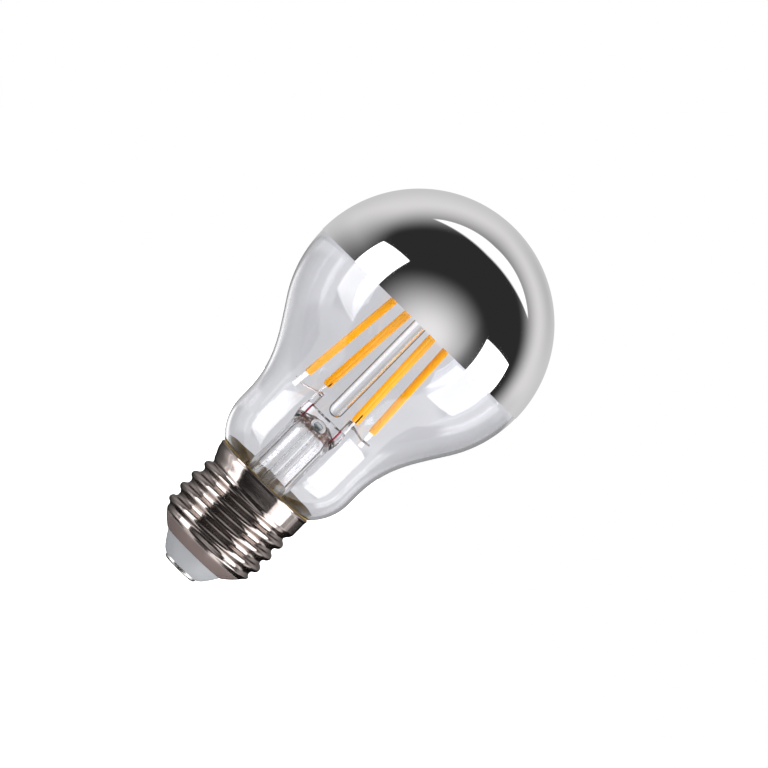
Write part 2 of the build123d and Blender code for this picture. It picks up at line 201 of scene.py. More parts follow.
def stem_rings():
    """Rings up the outside, over the press and down the bore."""
    trumpet_centre = seal_level + stem_wall + trumpet_height
    rings = []
    for step in range(25):
        turn = radians(90 * step / 24)
        radius = flare_radius - (flare_radius - stem_radius) * sin(turn)
        rings.append(oval(radius, radius, trumpet_centre - trumpet_height * cos(turn)))
    for step in range(1, 41):
        level = trumpet_centre + (press_top - press_round - trumpet_centre) * step / 40
        half, depth, full = stem_outside(level)
        rings.append(oval(half, depth, level, full))
    half, depth, full = stem_outside(press_top)
    for step in range(1, 7):
        turn = radians(90 * step / 6)
        inset = press_round * (1 - cos(turn))
        rings.append(oval(half - inset, depth - inset, press_top - press_round * (1 - sin(turn)), full))
    rings.append([(0, 0, press_top)])
    bore = stem_radius - stem_wall
    rings.append([(0, 0, vault_top)])
    for step in range(1, 25):
        share = cos(radians(90 * step / 24))
        level = tube_top + (vault_top - tube_top) * share
        depth = (stem_outside(level)[1] - stem_wall) * sqrt(1 - share ** 4)
        rings.append(oval(bore * sqrt(1 - share ** 2), depth, level))
    for step in range(1, 5):
        rings.append(oval(bore, bore, tube_top + (trumpet_centre - tube_top) * step / 4))
    for step in range(1, 25):
        turn = radians(90 - 90 * step / 24)
        radius = flare_radius - (flare_radius - bore) * sin(turn)
        rings.append(oval(radius, radius, trumpet_centre - (trumpet_height + stem_wall) * cos(turn)))
    return rings


hole_level, hole_half, hole_height, hole_front, hole_back = 44.35, 1.35, 0.92, -4.0, 0.2
lip, lip_stand = 0.42, 0.15


def blow_hole(count=48):
    """Oval plug from the front of the press into the vault."""
    rings = []
    for depth in (hole_front, hole_back):
        turns = [2 * pi * k / count for k in range(count)]
        rings.append([(hole_half * cos(t), depth, hole_level + hole_height * sin(t)) for t in turns])
    return stacked([[(0, hole_front, hole_level)]] + rings + [[(0, hole_back, hole_level)]], close=False)


def melted_lip(depth, count=48, section=16):
    """Oval ring of glass round the blow hole."""
    rings = []
    for k in range(count):
        turn = 2 * pi * k / count
        ring = []
        for j in range(section):
            roll = -2 * pi * j / section
            out = lip * cos(roll)
            ring.append(((hole_half + lip_stand + out) * cos(turn), depth + lip * sin(roll),
                         hole_level + (hole_height + lip_stand + out) * sin(turn)))
        rings.append(ring)
    return stacked(rings)


def both(tree, first, second):
    """Product of two sockets or numbers."""
    return put(tree, "Math", {0: first, 1: second}, operation="MULTIPLY").outputs[0]


def added(tree, first, factor, second):
    """A first socket times a factor, and a second one on top."""
    return put(tree, "Math", {0: first, 1: factor, 2: second}, operation="MULTIPLY_ADD").outputs[0]


def band(tree, value, start, full, fading, gone):
    """1 over a stretch of a socket's value, with soft ends."""
    return both(tree, ramped(tree, value, start, full), ramped(tree, value, gone, fading))


# The stem's rim colour is painted shade: the outer surface darkens towards it where it is seen edge-on.
stem_clear, stem_edge_shade = (0.998, 0.994, 0.994), (0.14, 0.14, 0.16)
smoke_brown, arch_line_brown, press_edge_shade = (0.24, 0.13, 0.10), (0.06, 0.035, 0.03), (0.02, 0.016, 0.014)
hole_painted_glint, hole_painted_shade = (0.85, 0.87, 0.86), (0.30, 0.33, 0.32)
arch_bend, arch_ragged, hollow_half, hollow_height = 65.0, 0.0009, 1.75e-3, 1.3e-3
stem_finish, stem_colour = clear_glass("drawn stem glass", stem_clear, stem_edge_shade, 0.66, 0.96)
stem_tree = stem_finish.node_tree
stem_place, stem_grain = place_on(stem_finish), grain_of(stem_finish, 1.1)
stem_height = stem_place["Z"]
off_middle = both(stem_tree, stem_place["X"], stem_place["X"])
from_axis = added(stem_tree, stem_place["Y"], stem_place["Y"], off_middle)
on_outside = ramped(stem_tree, from_axis, 4.8e-3 ** 2, 5.0e-3 ** 2)
stem_colour = mixed(stem_tree, on_outside, stem_clear, stem_colour)
arch = added(stem_tree, off_middle, arch_bend, stem_height)
ragged = added(stem_tree, stem_grain, arch_ragged, arch)
glaze = both(stem_tree, ramped(stem_tree, stem_height, 0.0420, 0.0426),
             ramped(stem_tree, ragged, 0.0460, 0.0455))
smoky = both(stem_tree, glaze, ramped(stem_tree, stem_grain, 0.38, 0.60))
browned = mixed(stem_tree, smoky, stem_colour, smoke_brown)
# A darker brown line drawn along the ragged, arched top of the brown glaze band.
arch_line = band(stem_tree, ragged, 0.0456, 0.0458, 0.0460, 0.0462)
stem_tint_and_shade = mixed(stem_tree, arch_line, browned, arch_line_brown)
# Painted shade: a broken near-black line along the top edge of the press, where the glass edge shows dark.
press_line = both(stem_tree, ramped(stem_tree, stem_height, 0.04650, 0.04675),
                  ramped(stem_tree, off_middle, 21e-6, 16e-6))
broken = both(stem_tree, press_line, ramped(stem_tree, grain_of(stem_finish, 1.7), 0.42, 0.50))
stem_tint_and_shade = mixed(stem_tree, broken, stem_tint_and_shade, press_edge_shade)
# Painted highlight and painted shade inside the blow hole: a pale glint above its middle and shade below
# it.
across_hole = both(stem_tree, off_middle, 1 / hollow_half ** 2)
over_hole = put(stem_tree, "Math", {0: stem_height, 1: hole_level / 1000}, operation="SUBTRACT").outputs[0]
near_hole = added(stem_tree, both(stem_tree, over_hole, over_hole), 1 / hollow_height ** 2, across_hole)
hollow = mixed(stem_tree, ramped(stem_tree, over_hole, 0.0003, -0.0003), hole_painted_glint, hole_painted_shade)
stem_tint_and_shade = mixed(stem_tree, ramped(stem_tree, near_hole, 1.1, 0.8), stem_tint_and_shade, hollow)
lead_to(stem_finish, stem_tint_and_shade, "Base Color")
stem = piece("stem_tube", stacked(stem_rings()), stem_finish, "clear_glass", "stem_glass")
cut(stem, loose("hole", blow_hole()))

# The lip's near-black rim colour is painted shade along its edge-on outline.
lip_clear, lip_edge_shade = (0.99, 0.99, 0.99), (0.02, 0.02, 0.02)
lip_finish, lip_colour = clear_glass("melted lip glass", lip_clear, lip_edge_shade, 0.35, 0.7, clarity=0.6)
lead_to(lip_finish, lip_colour, "Base Color")
piece("blow_hole_lip", melted_lip(-stem_outside(hole_level)[1]), lip_finish, "clear_glass")


# Exhaust tube: a thin glass tube up the middle of the stem, through which the lamp was pumped and filled.
# Its lower end is melted shut.
exhaust_radius, exhaust_bore, exhaust_foot, exhaust_top, exhaust_plug = 1.45, 0.8, 19.5, 43.3, 2.2


def arc(centre, radius, start, end, steps):
    """Points (radius, level) of an arc, in mm and degrees."""
    turns = [radians(start + (end - start) * step / steps) for step in range(steps + 1)]
    return [(centre[0] + radius * cos(turn), centre[1] + radius * sin(turn)) for turn in turns]


def turned(outline, around, close=True):
    """Skin turned round the lamp's axis; the outline runs up its outside."""
    rings = []
    for radius, level in outline:
        count = 1 if radius < 1e-6 else around
        rings.append([(radius * cos(2 * pi * k / around), radius * sin(2 * pi * k / around), level)
                      for k in range(count)])
    return stacked(rings, close)


# The exhaust tube's grey rim colour is painted shade along its edge-on outline.
exhaust_clear, exhaust_edge_shade = (0.985, 0.99, 0.985), (0.30, 0.30, 0.32)
exhaust_finish, exhaust_colour = clear_glass("exhaust glass", exhaust_clear, exhaust_edge_shade, 0.55, 0.85)
lead_to(exhaust_finish, exhaust_colour, "Base Color")
exhaust_outline = [(0, exhaust_foot)]
exhaust_outline += arc((0, exhaust_foot + exhaust_radius), exhaust_radius, -90, 0, 12)[1:]
exhaust_outline += [(exhaust_radius, exhaust_top), (exhaust_bore, exhaust_top)]
exhaust_outline += arc((0, exhaust_foot + exhaust_plug + exhaust_bore), exhaust_bore, 0, -90, 8)[:-1]
exhaust_outline += [(0, exhaust_foot + exhaust_plug)]
piece("exhaust_pipe", turned(exhaust_outline, 96, close=False), exhaust_finish, "clear_glass",
      "exhaust_tube")


# Leads: two straight wires from the driver up through the press. Nickel, with a copper-clad stretch, red
# from its glaze, where the glass grips it.
def dress(finish, *nodes):
    """Gives a finish to pieces that keep their own shape."""
    for node in nodes:
        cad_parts[node].material_slots[0].material = finish


lead_nickel, lead_red = (0.26, 0.24, 0.23), (0.36, 0.01, 0.04)
lead_finish = finish_named("sealing lead", {"Metallic": 1.0, "Roughness": 0.3})
lead_tree = lead_finish.node_tree
in_press = band(lead_tree, place_on(lead_finish)["Z"], 0.0430, 0.0436, 0.0470, 0.0475)
lead_to(lead_finish, mixed(lead_tree, in_press, lead_nickel, lead_red), "Base Color")
dress(lead_finish, "lead_wire_left", "lead_wire_right")


# Rod: a solid glass rod that hangs from the two upper wires, which are sealed through it. Its lower end is
# rounded in a flame and stops just above the press.
rod_foot, rod_top, rod_radius, rod_aside = 48.2, 88.7, 1.72, 0.35
# The rod's black rim colour is painted shade: it draws the rod's dark outlines where it is seen edge-on.
rod_clear, rod_edge_shade = (0.99, 0.99, 0.985), (0.01, 0.01, 0.01)
rod_finish, rod_colour = clear_glass("solid rod glass", rod_clear, rod_edge_shade, 0.32, 0.62)
lead_to(rod_finish, rod_colour, "Base Color")
rod_outline = [(0, rod_foot)] + arc((0, rod_foot + rod_radius), rod_radius, -90, 0, 20)[1:]
rod_outline += arc((0, rod_top - rod_radius), rod_radius, 0, 90, 20)[:-1] + [(0, rod_top)]
rod = piece("glass_rod", turned(rod_outline, 128, close=False), rod_finish, "clear_glass", "support_rod")
rod.location.x = rod_aside / 1000


# Filaments: four narrow carrier strips, coated on both faces with orange phosphor in silicone. The coat is
# laid on as two beads that leave a groove along each edge, and a flat metal tab grows out of each end.
coat_foot, coat_length, coat_width, coat_depth, coat_groove, carrier = 51.4, 32.02, 1.55, 2.1, 0.1, 0.3
coat_corner, coat_end, slow_ripple, fine_ripple = 0.8, 0.68, 0.012, 0.008
first_angle, lean, foot_reach = 27.0, 4.65, 10.8
strip_width, tab_length, tab_hold = 1.0, 4.2, 1.5
tab_width, tab_foot = (1.1, 0.55, 1.1, 0.55), (-4.0, -4.1, -4.2, -3.9)
coat_start = (0.0, 0.5, -0.1, -0.6)
foot_sway, upper_sway = (-0.1, -0.38, -0.37, 0.09), (0.5, 0.5, 0.23, 0.2)
in_sight, sway_fades, sway_gone = 22.6, 25, 33


def filament_seat(number):
    """Place of a filament: origin at the coat's foot, X outwards, Z along its strip."""
    turn = Matrix.Rotation(radians(first_angle + 90 * number), 4, "Z")
    out = Matrix.Translation((foot_reach / 1000, 0, 0)) @ Matrix.Rotation(radians(-lean), 4, "Y")
    return Matrix.Translation((0, 0, coat_foot / 1000)) @ turn @ out


def coat_section(steps=14):
    """Outline across the coat: two domed beads with a shallow groove between them on either side."""
    edge, half, top = coat_width / 2, carrier / 2, coat_depth / 2
    rise = top - half
    bow = (edge * edge + rise * rise) / (2 * rise)
    sweep = degrees(atan2(edge, bow - rise))
    dome = arc((0, top - bow), bow, 90 - sweep, 90 + sweep, steps)
    side = [(coat_groove - edge, half * 0.8), (coat_groove - edge, -half * 0.8)]
    return dome + side + [(-x, -y) for x, y in dome] + [(-x, -y) for x, y in side]


def coat_rings(foot, rows=160):
    """Rings along the strip, rounded off at both ends and a little uneven, as a laid bead is."""
    rings = []
    for row in range(rows + 1):
        along = foot + (coat_length - foot) * row / rows
        from_end = min(along - foot, coat_length - along)
        rounded = sqrt(max(1 - max(1 - from_end / coat_corner, 0) ** 2, 0))
        ripple = slow_ripple * sin(1.7 * along) + fine_ripple * sin(4.1 * along + 1)
        swell = (coat_end + (1 - coat_end) * rounded) * (1 + ripple)
        rings.append([(x * (0.4 + 0.6 * swell), y * swell, along) for x, y in coat_section()])
    return [[(0, 0, foot)]] + rings + [[(0, 0, coat_length)]]


def ribbon(foot, top, width=strip_width, rows=12):
    """Rings of a flat strip between two places along it."""
    half, thick = width / 2, carrier / 2
    corners = ((-half, -thick), (half, -thick), (half, thick), (-half, thick))
    rings = [[(x, y, foot + (top - foot) * row / rows) for x, y in corners] for row in range(rows + 1)]
    return [[(0, 0, foot)]] + rings + [[(0, 0, top)]]


def swayed(rings, number):
    """Skin through rings that stand a little askew, and come back to the weld at the top."""
    aside = filament_seat(number).inverted().to_3x3() @ Vector((1, 0, 0))
    moved = []
    for ring in rings:
        along = ring[0][2]
        share = along / in_sight
        sway = foot_sway[number] * (1 - share) + upper_sway[number] * share
        sway *= 1 - ease(sway_fades, sway_gone, along)
        moved.append([tuple(c + sway * a for c, a in zip(point, aside)) for point in ring])
    return stacked(moved, close=False)


def together(*skins):
    """One skin out of several."""
    points, faces = [], []
    for more_points, more_faces in skins:
        faces += [[corner + len(points) for corner in face] for face in more_faces]
        points += more_points
    return points, faces


bead_orange, bead_deep = (1.0, 0.44, 0.002), (1.0, 0.38, 0.001)
thin_orange, lip_orange = (1.0, 0.56, 0.08), (1.0, 0.53, 0.07)
burnt_mark, clean_mark = (0.10, 0.035, 0.012), (1.0, 0.40, 0.004)


def phosphor(name, mark):
    """Orange beads of phosphor in silicone, paler where thin and along the grooves, marked at the ends."""
    finish = finish_named(name, {"Roughness": 0.4, "Specular IOR Level": 0.06})
    tree = finish.node_tree
    place = place_on(finish)
    outward = put(tree, "Math", {0: place["X"]}, operation="ABSOLUTE").outputs[0]
    aside = put(tree, "Math", {0: place["Y"]}, operation="ABSOLUTE").outputs[0]
    above = put(tree, "Math", {0: place["Z"], 1: coat_length / 2000}, operation="SUBTRACT").outputs[0]
    from_middle = put(tree, "Math", {0: above}, operation="ABSOLUTE").outputs[0]
    at_side = ramped(tree, outward, 0.0004, 0.0006)
    bead = mixed(tree, grain_of(finish, 1.2, (1, 1, 3)), bead_orange, bead_deep)
    bead = mixed(tree, both(tree, ramped(tree, outward, 0.00045, 0.00075), 0.3), bead, thin_orange)
    lips = both(tree, band(tree, aside, 0.00018, 0.00028, 0.00040, 0.00050), at_side)
    bead = mixed(tree, lips, bead, lip_orange)
    ends = ramped(tree, from_middle, (coat_length / 2 - 2.1) / 1000, (coat_length / 2 - 1.5) / 1000)
    in_groove = both(tree, ramped(tree, aside, 0.00026, 0.00014), at_side)
    lead_to(finish, mixed(tree, both(tree, in_groove, ends), bead, mark), "Base Color")
    roughen(finish, 0.03, grain_of(finish, 0.5))
    return finish


carrier_finish = finish_named("ceramic carrier", {"Roughness": 0.6})
mottle(carrier_finish, "Base Color", (0.86, 0.84, 0.78), (0.78, 0.75, 0.68), grain_of(carrier_finish, 0.6))
tab_finish = finish_named("tinned tab", {"Metallic": 0.0})
mottle(tab_finish, "Base Color", (1.0, 1.0, 1.0), (0.90, 0.90, 0.89), grain_of(tab_finish, 0.5))
mottle(tab_finish, "Roughness", 0.30, 0.5, grain_of(tab_finish, 0.3))
marked = phosphor("phosphor silicone", burnt_mark)
unmarked = phosphor("clean phosphor", clean_mark)
for number in range(4):
    parts = (
        piece(f"phosphor_coat_{number + 1}", swayed(coat_rings(coat_start[number]), number),
              marked if number else unmarked, "phosphor", f"filament_coat_{number + 1}", crease=50),
        piece(f"carrier_strip_{number + 1}", swayed(ribbon(tab_hold, coat_length - tab_hold), number),
              carrier_finish, "strip_ceramic", f"filament_strip_{number + 1}"),
        piece(f"end_tabs_{number + 1}",
              together(swayed(ribbon(tab_foot[number], tab_hold, tab_width[number]), number),
                       swayed(ribbon(coat_length - tab_hold, coat_length - tab_hold + tab_length), number)),
              tab_finish, "tab_metal", f"filament_tabs_{number + 1}"))
    for part in parts:
        part.matrix_world = filament_seat(number)


# Wires that join the filaments: bent nickel wire, spot-welded to the tabs and to the leads at the bottom,
# and sealed through the rod at the top.
# Painted shade and painted light: two copies of one nickel wire. The darker one, painted in shade, is for
# the right cross wire and the top wires; the bright one, painted lit, is for the left cross wire.
shaded_wire_finish = finish_named("nickel wire", {"Metallic": 1.0})
mottle(shaded_wire_finish, "Base Color", (0.34, 0.31, 0.29), (0.18, 0.16, 0.15), grain_of(shaded_wire_finish, 0.8))
mottle(shaded_wire_finish, "Roughness", 0.18, 0.38, grain_of(shaded_wire_finish, 0.4))
dress(shaded_wire_finish, "cross_wire_right", "top_wire_lower", "top_wire_upper")
lit_wire_finish = finish_named("nickel wire painted lit", {"Metallic": 1.0, "Roughness": 0.3})
mottle(lit_wire_finish, "Base Color", (0.97, 0.93, 0.92), (0.80, 0.75, 0.73),
       grain_of(lit_wire_finish, 0.8))
dress(lit_wire_finish, "cross_wire_left")


# Envelope: a blown pear of clear glass with an even wall, a ball that runs into a slack flank, a short
# throat and a rounded shoulder whose neck goes down into the cap, where it is sealed to the stem's flare.
bulb_diameter, lamp_length, mirror_thickness, glass_wall = 60.0, 106.0, 0.1, 0.7
cap_height = 27.4
ball_level = lamp_length - bulb_diameter / 2
ball_radius = bulb_diameter / 2 - mirror_thickness
neck_radius, neck_straight, neck_end = 16.9, 1.7, 11.0
shoulder_radius, neck_fillet, rim_bore = 12.3, 2.0, 12.55
flank_angle, flank_pull, throat_pull = 33.0, 0.38, 0.42


def bezier(start, first, second, end, steps):
    """Points of a cubic curve."""
    points = []
    for step in range(steps + 1):
        t = step / steps
        weights = ((1 - t) ** 3, 3 * t * (1 - t) ** 2, 3 * t * t * (1 - t), t ** 3)
        points.append(tuple(sum(w * p[k] for w, p in zip(weights, (start, first, second, end)))
                            for k in range(2)))
    return points


def envelope_side(inset):
    """Outline of the envelope from the seal to the crown, set in from its outer surface."""
    hub_radius = neck_radius - shoulder_radius
    hub = (hub_radius, cap_height + sqrt(shoulder_radius ** 2 - (rim_bore - hub_radius) ** 2))
    across = neck_end + neck_fillet - hub_radius
    drop = sqrt((shoulder_radius + neck_fillet) ** 2 - across ** 2)
    bend = (neck_end + neck_fillet, hub[1] - drop)
    turn = degrees(atan2(drop, across))
    throat = (neck_radius - inset, hub[1] + neck_straight)
    ball = ball_radius - inset
    slope = radians(flank_angle)
    flank = (ball * cos(slope), ball_level - ball * sin(slope))
    rise = flank[1] - throat[1]
    upright = (throat[0], throat[1] + throat_pull * rise)
    sloped = (flank[0] - flank_pull * rise * tan(slope), flank[1] - flank_pull * rise)
    return ([(neck_end - inset, seal_level)]
            + arc(bend, neck_fillet + inset, 180, 180 - turn, 12)
            + arc(hub, shoulder_radius - inset, -turn, 0, 28)[1:]
            + bezier(throat, upright, sloped, flank, 48)
            + arc((0, ball_level), ball, -flank_angle, 90, 70)[1:-1] + [(0, ball_level + ball)])


# The envelope's grey rim colour is painted shade towards its edge-on outline.
envelope_clear, envelope_edge_shade = (0.970, 0.973, 1.0), (0.80, 0.80, 0.83)
envelope_finish, envelope_colour = clear_glass("blown clear glass", envelope_clear, envelope_edge_shade, 0.84, 1.0)
lead_to(envelope_finish, envelope_colour, "Base Color")
roughen(envelope_finish, 0.006, grain_of(envelope_finish, 9.0, (1, 1, 1.6), 1.0))
envelope_outline = envelope_side(0) + envelope_side(glass_wall)[::-1]
piece("envelope", turned(envelope_outline, 224), envelope_finish, "clear_glass", "glass_envelope")


# Mirror: a coat of silver over the outside of the upper half, with a clean edge at the widest line, laid
# on in a vacuum and sealed with clear lacquer.
silver_gap, silver_inset = 0.01, 0.015
mirror_finish = finish_named("silver mirror", {"Metallic": 1.0})
mottle(mirror_finish, "Base Color", (0.955, 0.937, 0.943), (0.93, 0.912, 0.918),
       grain_of(mirror_finish, 14))
mottle(mirror_finish, "Roughness", 0.02, 0.045, grain_of(mirror_finish, 5))
mirror_radius = bulb_diameter / 2 - silver_inset
mirror_outline = arc((0, ball_level), mirror_radius, 0, 90, 72)[:-1] + [(0, ball_level + mirror_radius)]
mirror_outline += [(0, lamp_length - mirror_thickness + silver_gap)]
mirror_outline += arc((0, ball_level), ball_radius + silver_gap, 90, 0, 36)[1:]
piece("mirror_dome", turned(mirror_outline, 224), mirror_finish, "silver_mirror", "mirror_coating")


# Driver: a small circuit board that stands on the insulator inside the cap, with a rectifier, a regulator,
# a fuse resistor and a capacitor, and a wire each to the centre contact and to the shell.
board_finish = finish_named("board laminate", {"Roughness": 0.45})
mottle(board_finish, "Base Color", (0.05, 0.16, 0.07), (0.07, 0.21, 0.09), grain_of(board_finish, 0.7))
dress(board_finish, "driver_board")
chip_finish = finish_named("moulded epoxy", {"Base Color": (0.02, 0.02, 0.022, 1)})
mottle(chip_finish, "Roughness", 0.35, 0.6, grain_of(chip_finish, 0.2))
dress(chip_finish, "bridge_rectifier", "regulator_chip")
sleeve_finish = finish_named("capacitor sleeve", {"Roughness": 0.3})
mottle(sleeve_finish, "Base Color", (0.03, 0.04, 0.10), (0.02, 0.03, 0.07), grain_of(sleeve_finish, 2.0))
dress(sleeve_finish, "smoothing_capacitor")
resistor_finish = finish_named("resistor lacquer", {"Roughness": 0.4})
mottle(resistor_finish, "Base Color", (0.40, 0.27, 0.14), (0.34, 0.22, 0.11),
       grain_of(resistor_finish, 0.5))
dress(resistor_finish, "fuse_resistor")
supply_finish = finish_named("tinned supply wire", {"Metallic": 1.0, "Base Color": (0.70, 0.69, 0.66, 1)})
mottle(supply_finish, "Roughness", 0.25, 0.45, grain_of(supply_finish, 0.4))
dress(supply_finish, "live_wire", "neutral_wire")


# Insulator and contact: a moulded cone of grey-blue glassy plastic that closes the shell's foot, and a
# tinned disc riveted through its tip.
# The points are (radius, level): up the bulging side, and down the bowl to the rivet's hole.
insulator_side = [(4.9, 0.85), (5.60, 1.4), (6.12, 2.0), (6.56, 2.6), (6.98, 3.2), (7.37, 3.8), (7.74, 4.4),
                  (8.08, 5.0), (9.0, 6.3), (9.0, 6.6)]
insulator_bowl = [(6.4, 6.6), (3.2, 2.25), (1.21, 2.25), (1.21, 0.85)]
insulator_finish = finish_named("moulded insulator", {"Specular IOR Level": 0.4})
mottle(insulator_finish, "Base Color", (0.174, 0.179, 0.188), (0.157, 0.162, 0.172),
       grain_of(insulator_finish, 3.0))
mottle(insulator_finish, "Roughness", 0.38, 0.55, grain_of(insulator_finish, 0.8))
roughen(insulator_finish, 0.02, grain_of(insulator_finish, 0.6))
piece("insulator_cone", turned(insulator_side + insulator_bowl, 160), insulator_finish, "insulator",
      "base_insulator", crease=30)
contact_finish = finish_named("tinned contact", {"Metallic": 1.0})
mottle(contact_finish, "Base Color", (0.62, 0.61, 0.59), (0.46, 0.45, 0.44), grain_of(contact_finish, 0.9))
mottle(contact_finish, "Roughness", 0.22, 0.4, grain_of(contact_finish, 0.5))
dress(contact_finish, "centre_contact")


# Screw shell: thin nickel-plated brass with a rolled knuckle thread, a rounded foot crimped on the
# insulator and a smooth collar, which is dented on one side and has a solder tack at its rim.
thread_crest, thread_root, pitch, crest_level = 13.05, 11.85, 3.629, 8.5
thread_start, thread_full, thread_fades, thread_gone = 8.0, 9.8, 20.9, 22.6
foot_level, foot_rise, shell_foot, foot_curve = 5.0, 5.0, 8.4, 1.6
collar_radius, collar_start, collar_full, shell_wall = 12.95, 21.7, 23.0, 0.3
late_collar, late_angle, late_spread = 0.7, 190.0, 60.0
rim_bead, bead_drop, bead_spread = 0.14, 0.3, 0.2
# Each dent: its angle, its spread round the cap in degrees, its level, its reach up the cap and its depth.
dents = ((190.0, 45.0, 23.4, 1.3, 1.0), (185.0, 45.0, 20.4, 2.0, 0.45), (185.0, 40.0, 11.0, 2.0, 0.3))
tack_angle, tack_level, tack_width, tack_rise = 236.0, 27.0, 0.55, 0.12


def bell(offset, spread):
    """Rounded hump of height 1."""
    return exp(-0.5 * (offset / spread) ** 2)


def knuckle(turns):
    """Thread profile from -1 to 1 along its turns: a round crest that runs straight into a round root."""
    quarter, half_depth = pitch / 4, (thread_crest - thread_root) / 2
    bow = (quarter ** 2 + half_depth ** 2) / (2 * half_depth)
    off_crest = abs((turns + 0.5) % 1 - 0.5) * pitch
    near = min(off_crest, pitch / 2 - off_crest)
    height = 1 - (bow - sqrt(bow ** 2 - near ** 2)) / half_depth
    return height if off_crest <= quarter else -height


def off_angle(angle, middle):
    """How far an angle lies from another, from -180 to 180 degrees."""
    return (angle - middle + 180) % 360 - 180


def shell_radius(angle, level):
    """Outer radius of the shell at an angle in degrees and a level."""
    mean = (thread_crest + thread_root) / 2
    foot = max((foot_level + foot_rise - level) / foot_rise, 0.0)
    late = late_collar * bell(off_angle(angle, late_angle), late_spread)
    collar = ease(collar_start + late, collar_full + late, level)
    radius = mean - (mean - shell_foot) * foot ** foot_curve + (collar_radius - mean) * collar
    radius += rim_bead * bell(level - cap_height + bead_drop, bead_spread)
    swing = (thread_crest - thread_root) / 2 * ease(thread_start, thread_full, level)
    swing *= 1 - ease(thread_fades + late, thread_gone + late, level)
    radius += swing * knuckle((level - crest_level) / pitch - angle / 360)
    for middle, spread, height, reach, depth in dents:
        radius -= depth * bell(off_angle(angle, middle), spread) * bell(level - height, reach)
    tack = radians(angle - tack_angle) * collar_radius
    return radius + tack_rise * bell(tack, tack_width) * bell(level - tack_level, tack_width)


def shell_ring(level, inset=0.0, lift=0.0, around=224):
    """Ring of points round the shell, set in from its outside."""
    ring = []
    for k in range(around):
        angle = 360 * k / around
        radius = shell_radius(angle, level) - inset
        ring.append((radius * cos(radians(angle)), radius * sin(radians(angle)), level + lift))
    return ring


roll, outer_rows, inner_rows = shell_wall / 2, 260, 90
shell_rim = cap_height - roll
shell_rise = shell_rim - foot_level
shell_rings = [shell_ring(foot_level + shell_rise * row / outer_rows) for row in range(outer_rows + 1)]
shell_rings += [shell_ring(shell_rim, roll - roll * cos(radians(a)), roll * sin(radians(a)))
                for a in (30, 60, 90, 120, 150)]
shell_rings += [shell_ring(shell_rim - shell_rise * row / inner_rows, shell_wall)
                for row in range(inner_rows + 1)]
nickel, worn_nickel, foot_brown = (0.46, 0.405, 0.385), (0.385, 0.335, 0.315), (0.125, 0.098, 0.092)
shell_finish = finish_named("nickel-plated brass", {"Specular Tint": (0.3, 0.3, 0.3, 1),
                                                    "Anisotropic": 0.88, "Anisotropic Rotation": 0.25})
shell_tree = shell_finish.node_tree
round_the_cap = put(shell_tree, "Tangent", direction_type="RADIAL", axis="Z")
lead_to(shell_finish, round_the_cap.outputs["Tangent"], "Tangent")
on_foot = ramped(shell_tree, place_on(shell_finish)["Z"], 0.0080, 0.0074)
plated = mixed(shell_tree, grain_of(shell_finish, 2.5), nickel, worn_nickel)
lead_to(shell_finish, mixed(shell_tree, on_foot, plated, foot_brown), "Base Color")
mottle(shell_finish, "Roughness", 0.14, 0.22, grain_of(shell_finish, 0.9, (1, 1, 0.35)))
roughen(shell_finish, 0.006, grain_of(shell_finish, 1.2, (1, 1, 0.4)))
dull_foot = put(shell_tree, "MapRange", {"Value": on_foot, "To Min": 1.0, "To Max": 0.35})
lead_to(shell_finish, dull_foot.outputs["Result"], "Metallic")
piece("cap_shell", stacked(shell_rings), shell_finish, "plated_shell", "screw_shell", crease=60)


# Cement: the olive-brown ring, cured hard, that fills the collar round the glass neck and holds cap and
# glass together. It creeps a little up the glass above the rim.
cement_foot, cement_front, cement_creep, cement_gap, cement_wave = 21.2, 27.6, 0.95, 0.03, 0.05
front_angle, creep_starts, creep_full, skirt_gap = 270, 40, 130, 0.12
below_rim, skirt_top, collar_level, neck_top = 27.2, 27.3, 24.0, 30.0
collar_fill, thread_fill = 12.5, 11.25
neck_side = [point for point in envelope_side(0) if point[1] < neck_top]


def on_glass(level):
    """Radius of the neck's outside at a level."""
    for (near, low), (far, high) in zip(neck_side, neck_side[1:]):
        if low <= level <= high:
            return near + (far - near) * (level - low) / (high - low)
    return neck_side[0][0]


def cement_ring(row, rows, outside, around=200):
    """Ring of the cement: a row up the shell's inside and over the creep, or down the glass."""
    ring = []
    for k in range(around):
        angle = 360 * k / around
        creep = cement_creep * ease(creep_starts, creep_full, abs(off_angle(angle, front_angle)))
        top = cement_front + creep + cement_wave * sin(radians(13 * angle))
        level = cement_foot + (top - cement_foot) * row / rows
        reach = on_glass(level) - cement_gap
        if outside:
            in_shell = shell_radius(angle, min(level, below_rim)) - shell_wall - skirt_gap
            skirt = min(in_shell, collar_fill if level > collar_level else thread_fill)
            reach = max(skirt if level < skirt_top else 0, on_glass(level) + 2 * cement_gap)
        ring.append((reach * cos(radians(angle)), reach * sin(radians(angle)), level))
    return ring


cement_finish = finish_named("cured cement", {"Roughness": 0.8})
mottle(cement_finish, "Base Color", (0.35, 0.228, 0.060), (0.115, 0.075, 0.019),
       grain_of(cement_finish, 0.8))
roughen(cement_finish, 0.08, grain_of(cement_finish, 0.5))
shell_rows, glass_rows = 60, 24
shell_side = [cement_ring(row, shell_rows, True) for row in range(shell_rows + 1)]
glass_side = [cement_ring(row, glass_rows, False) for row in range(glass_rows, -1, -1)]
piece("cement_fill", stacked(shell_side + glass_side), cement_finish, "cement", "cement_ring")


